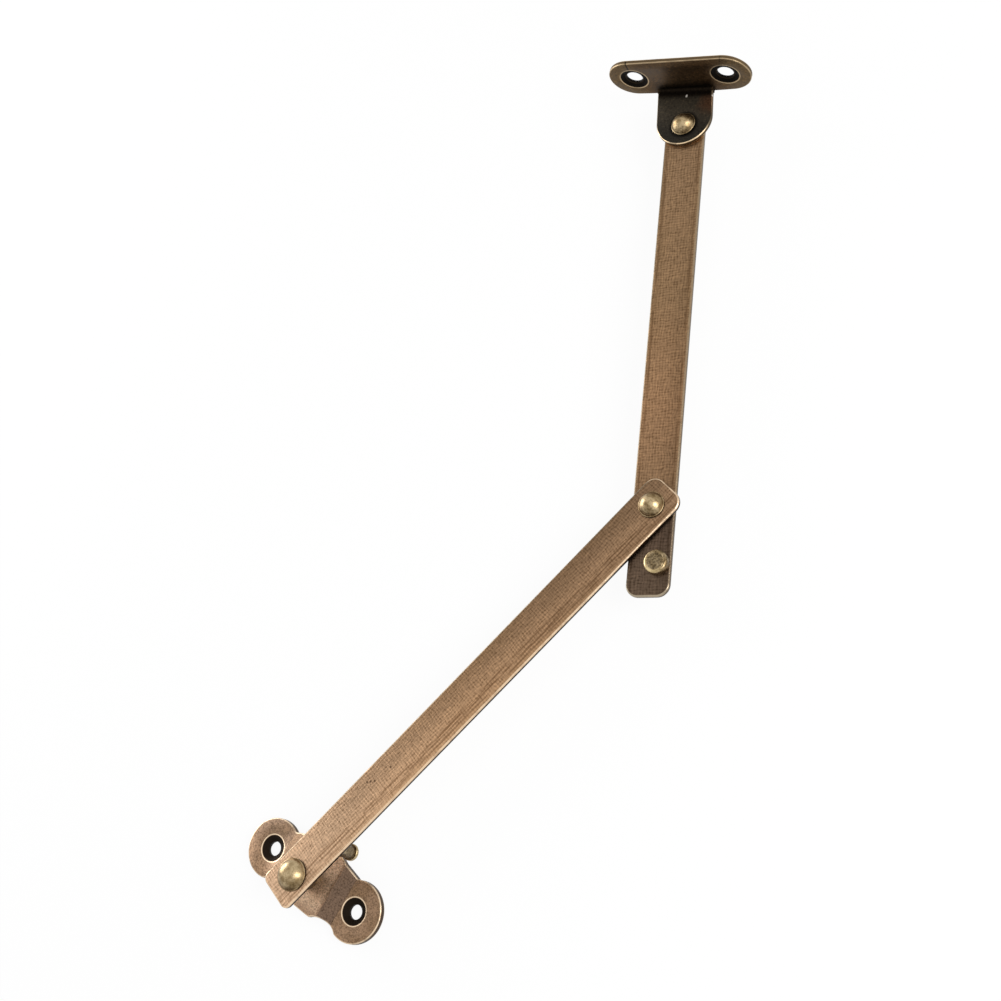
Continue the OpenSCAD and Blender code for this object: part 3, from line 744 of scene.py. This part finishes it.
def makeElbowStop():
    shape = stopShape
    low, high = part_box("elbow_stop_pin")
    centre = ((low[0] + high[0]) / 2, (low[1] + high[1]) / 2)
    top, foot, radius = high[2], high[2] - shape["height"], shape["radius"]
    dished = radius - shape["chamfer"] - shape["rim"]
    outline = [(dished * part, top - shape["dish"] * depth) for part, depth in shape["bowl"]]
    outline += [(dished + past, top - deep) for past, deep in shape["lip"]]
    outline += [(radius - within, top - shape["chamfer"] * part) for within, part in shape["shoulder"]]
    outline += [(radius, foot + shape["footUp"]), (radius - shape["footIn"], foot)]
    outline += [(rivetShape["shankR"], foot)]
    bm = turnedPiece(outline + shankAndPeen(upperArmBack), centre)
    rim, side = marks(bm)
    below, above = shape["footDark"]
    for face in bm.faces:
        spot = face.calc_center_median()
        outward = Vector((spot.x - centre[0], spot.y - centre[1], 0))
        away = outward.length
        # wear with a painted highlight on the rim towards the lower left, painted shade on faces turned away and
        # at the foot
        wearAndHighlight = outward.dot(Vector(shape["wearAndHighlightWay"])) / max(away, meshing["mergeDist"])
        onRim = dished + shape["wearAndHighlightFrom"] < away and spot.z > top - shape["wearAndHighlightDeep"]
        face[rim] = max(0.0, wearAndHighlight) * shape["wearAndHighlightAmount"] if onRim else 0.0
        face[side] = shape["rimDark"] * max(0.0, shape["rimDarkFrom"] - wearAndHighlight)
        if away < dished:
            face[side] = shape["dishDark"]
        if foot - below < spot.z < foot + above:
            face[side] = 1.0
    return settle(bm, "elbowStop", "upper_arm", "elbow_stop_pin", brassRivet, shape["sharp"])


rearShape = {
    "shankR": 1.8 * mm, "headR": 2.3 * mm, "rim": 1.0 * mm, "dome": 1.3 * mm, "spigotR": 1.3 * mm,
    "step": 0.2 * mm, "edge": 0.1 * mm, "domeSteps": 10, "sharp": 40,
    "shankDark": 0.6, "headDark": 0.15, "rimWearAndHighlight": 0.35,
}


def makeRearStop():
    shape = rearShape
    low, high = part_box("rear_stop_pin")
    centre = ((low[0] + high[0]) / 2, (low[1] + high[1]) / 2)
    rimBack = low[2] + shape["dome"]
    rimFront = rimBack + shape["rim"]
    headR, shankR, spigotR, edge = shape["headR"], shape["shankR"], shape["spigotR"], shape["edge"]
    outline = arc(headR - shape["step"], shape["dome"], rimBack, shape["domeSteps"], True)
    outline += [(headR - edge, rimBack), (headR, rimBack + edge)]
    outline += [(headR, rimFront - edge), (headR - edge, rimFront)]
    outline += [(shankR, rimFront), (shankR, lowerArmBack)]
    outline += [(spigotR, lowerArmBack), (spigotR, high[2]), (0, high[2])]
    bm = turnedPiece(outline, centre)
    rim, side = marks(bm)
    for face in bm.faces:
        spot = face.calc_center_median()
        away = math.hypot(spot.x - centre[0], spot.y - centre[1])
        onShank = spot.z > rimFront and away < headR - shape["step"]
        face[side] = shape["shankDark"] if onShank else shape["headDark"]
        # wear and a painted highlight on the rim between head and shank
        face[rim] = shape["rimWearAndHighlight"] if rimBack < spot.z < rimFront else 0.0
    return settle(bm, "rearStop", "lower_arm", "rear_stop_pin", brassRivet, shape["sharp"])


makeElbowStop()
makeRearStop()
print("pieces: made")


studio = {
    "floorSize": 3.0, "floorY": 0.12, "floorDrop": 0.4 * mm,
    "floorWhite": (0.86, 0.86, 0.86, 1), "floorRough": 0.9, "white": (1, 1, 1, 1),
    "shadow": 0.08, "ambient": 0.62,
}


def seenRays(p):  # one for rays that show the background, and nought for the light that falls on things
    kinds = ("Is Camera Ray", "Is Glossy Ray", "Is Transmission Ray")
    first, second, third = (p.add("ShaderNodeLightPath", out=kind) for kind in kinds)
    return first + second + third


def makeFloor():
    bm = bmesh.new()
    bmesh.ops.create_grid(bm, x_segments=1, y_segments=1, size=studio["floorSize"] / 2)
    bmesh.ops.translate(bm, vec=(0, studio["floorY"], -studio["floorDrop"]), verts=bm.verts)
    mesh = bpy.data.meshes.new("floor")
    bm.to_mesh(mesh)
    bm.free()
    floor = bpy.data.objects.new("floor", mesh)
    bpy.context.scene.collection.objects.link(floor)
    p = Paint(bpy.data.materials.new("floorWhite"))
    p.finish({"Base Color": studio["floorWhite"], "Roughness": studio["floorRough"]}, {})
    glow = p.add("ShaderNodeEmission", {}, {"Color": studio["white"], "Strength": 1.0})
    plain = Wire(p, p.tree.nodes["Principled BSDF"].outputs[0])
    both = p.add("ShaderNodeMixShader", {}, {0: seenRays(p) * (1 - studio["shadow"]), 1: plain, 2: glow})
    p.tree.links.new(both.socket, p.tree.nodes["Material Output"].inputs["Surface"])
    mesh.materials.append(p.owner)


def makeWorld():
    world = bpy.data.worlds.new("studio")
    bpy.context.scene.world = world
    p = Paint(world)
    level = p.add("ShaderNodeMapRange", {}, {
        "Value": seenRays(p), "To Min": studio["ambient"], "To Max": 1.0})
    ground = p.tree.nodes["Background"]
    ground.inputs["Color"].default_value = studio["white"]
    p.tree.links.new(level.socket, ground.inputs["Strength"])


lamps = {
    "leftSoft": {"at": (-0.72, 0.02, 0.17), "size": (0.50, 0.44), "power": 4.4},
    "rightSoft": {"at": (0.56, 0.30, 0.44), "size": (0.40, 0.40), "power": 3.6},
}
lampAim = Vector((0.01, 0.12, 0.01))


def makeLamps():
    for name, lamp in lamps.items():
        data = bpy.data.lights.new(name, "AREA")
        data.shape = "RECTANGLE"
        data.size, data.size_y = lamp["size"]
        data.energy = lamp["power"]
        light = bpy.data.objects.new(name, data)
        light.location = lamp["at"]
        light.rotation_euler = (Vector(lamp["at"]) - lampAim).to_track_quat("Z", "Y").to_euler()
        bpy.context.scene.collection.objects.link(light)


lens = {
    "eye": (0.20922, 0.08121, 0.33424), "turn": (22.3466, 25.9211, 34.0682),  # metres and degrees
    "focal": 50.350, "sensor": 36.0, "near": 0.01, "far": 20,  # the first two in millimetres
}


def makeCamera():
    data = bpy.data.cameras.new("view")
    data.sensor_width, data.lens = lens["sensor"], lens["focal"]
    data.clip_start, data.clip_end = lens["near"], lens["far"]
    camera = bpy.data.objects.new("view", data)
    camera.location = lens["eye"]
    camera.rotation_euler = [math.radians(a) for a in lens["turn"]]
    bpy.context.scene.collection.objects.link(camera)
    bpy.context.scene.camera = camera


makeFloor()
makeWorld()
makeLamps()
makeCamera()
bpy.context.scene.view_settings.view_transform = "Standard"
print("studio: set")
